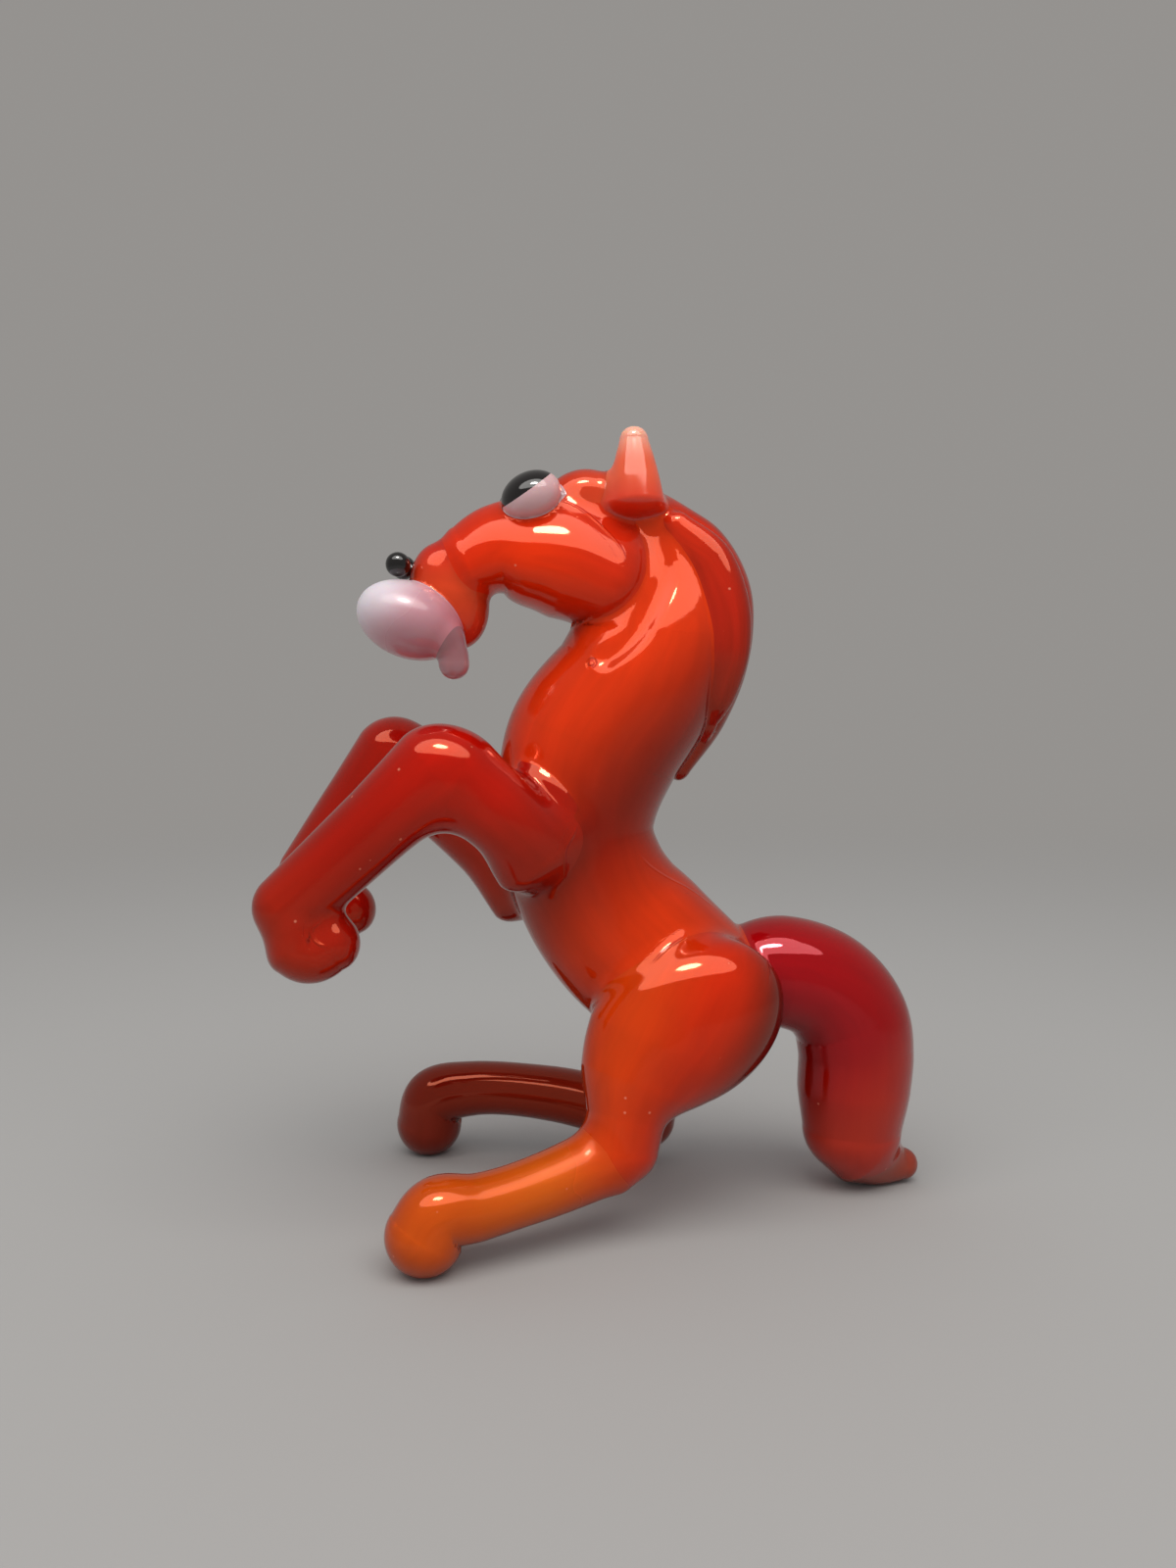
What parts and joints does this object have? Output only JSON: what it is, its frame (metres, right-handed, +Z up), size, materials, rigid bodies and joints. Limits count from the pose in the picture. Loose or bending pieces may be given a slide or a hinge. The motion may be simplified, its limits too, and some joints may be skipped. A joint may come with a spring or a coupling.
{
  "type": "glass horse figurine",
  "caption": "Rearing horse ornament of flame-worked orange-red glass with a white mouth, bulging eyes and a thick tail; it rests on its hind hooves and tail tip.",
  "frame": {"origin": "on the ground that the hind hooves and the tail tip rest on, under the middle of the figure's box", "axes": "+Z up; -X is the way the horse looks; -Y is its left side"},
  "size_m": [0.0484, 0.026, 0.0555],
  "materials": {
    "body_glass": "glossy opaque orange-red glass under a clear casing",
    "head_glass": "glossy opaque orange-red glass",
    "mane_glass": "glossy red glass with a clear rim",
    "foreleg_glass": "glossy opaque red glass",
    "thigh_glass": "glossy orange-red glass shading to dark red-brown",
    "shank_glass": "glossy amber-orange glass",
    "dark_leg_glass": "glossy dark red-brown glass",
    "tail_glass": "glossy crimson glass shading to orange-brown",
    "tail_tip_glass": "glossy brown-red glass",
    "ear_glass": "orange glass running out into a clear tip",
    "opal_glass": "glossy white opal glass",
    "tongue_glass": "translucent pink glass",
    "black_glass": "glossy black glass"
  },
  "bodies": {
    "root": {"torso": "body_glass", "neck": "body_glass", "head": "head_glass", "muzzle": "head_glass", "forelock": "head_glass", "mane_crest": "mane_glass", "mane_left_strand": "mane_glass", "mane_right_strand": "mane_glass", "left_upper_foreleg": "foreleg_glass", "left_forearm": "foreleg_glass", "left_fore_hoof": "foreleg_glass", "right_upper_foreleg": "foreleg_glass", "right_forearm": "foreleg_glass", "right_fore_hoof": "foreleg_glass", "left_thigh": "thigh_glass", "right_thigh": "thigh_glass", "left_shank": "shank_glass", "left_hind_hoof": "shank_glass", "right_shank": "dark_leg_glass", "right_hind_hoof": "dark_leg_glass", "tail": "tail_glass", "tail_tip": "tail_tip_glass", "left_ear": "ear_glass", "right_ear": "ear_glass", "mouth": "opal_glass", "left_eyeball": "opal_glass", "right_eyeball": "opal_glass", "tongue": "tongue_glass", "left_nostril": "black_glass", "right_nostril": "black_glass", "left_pupil": "black_glass", "right_pupil": "black_glass"}
  },
  "joints": []
}
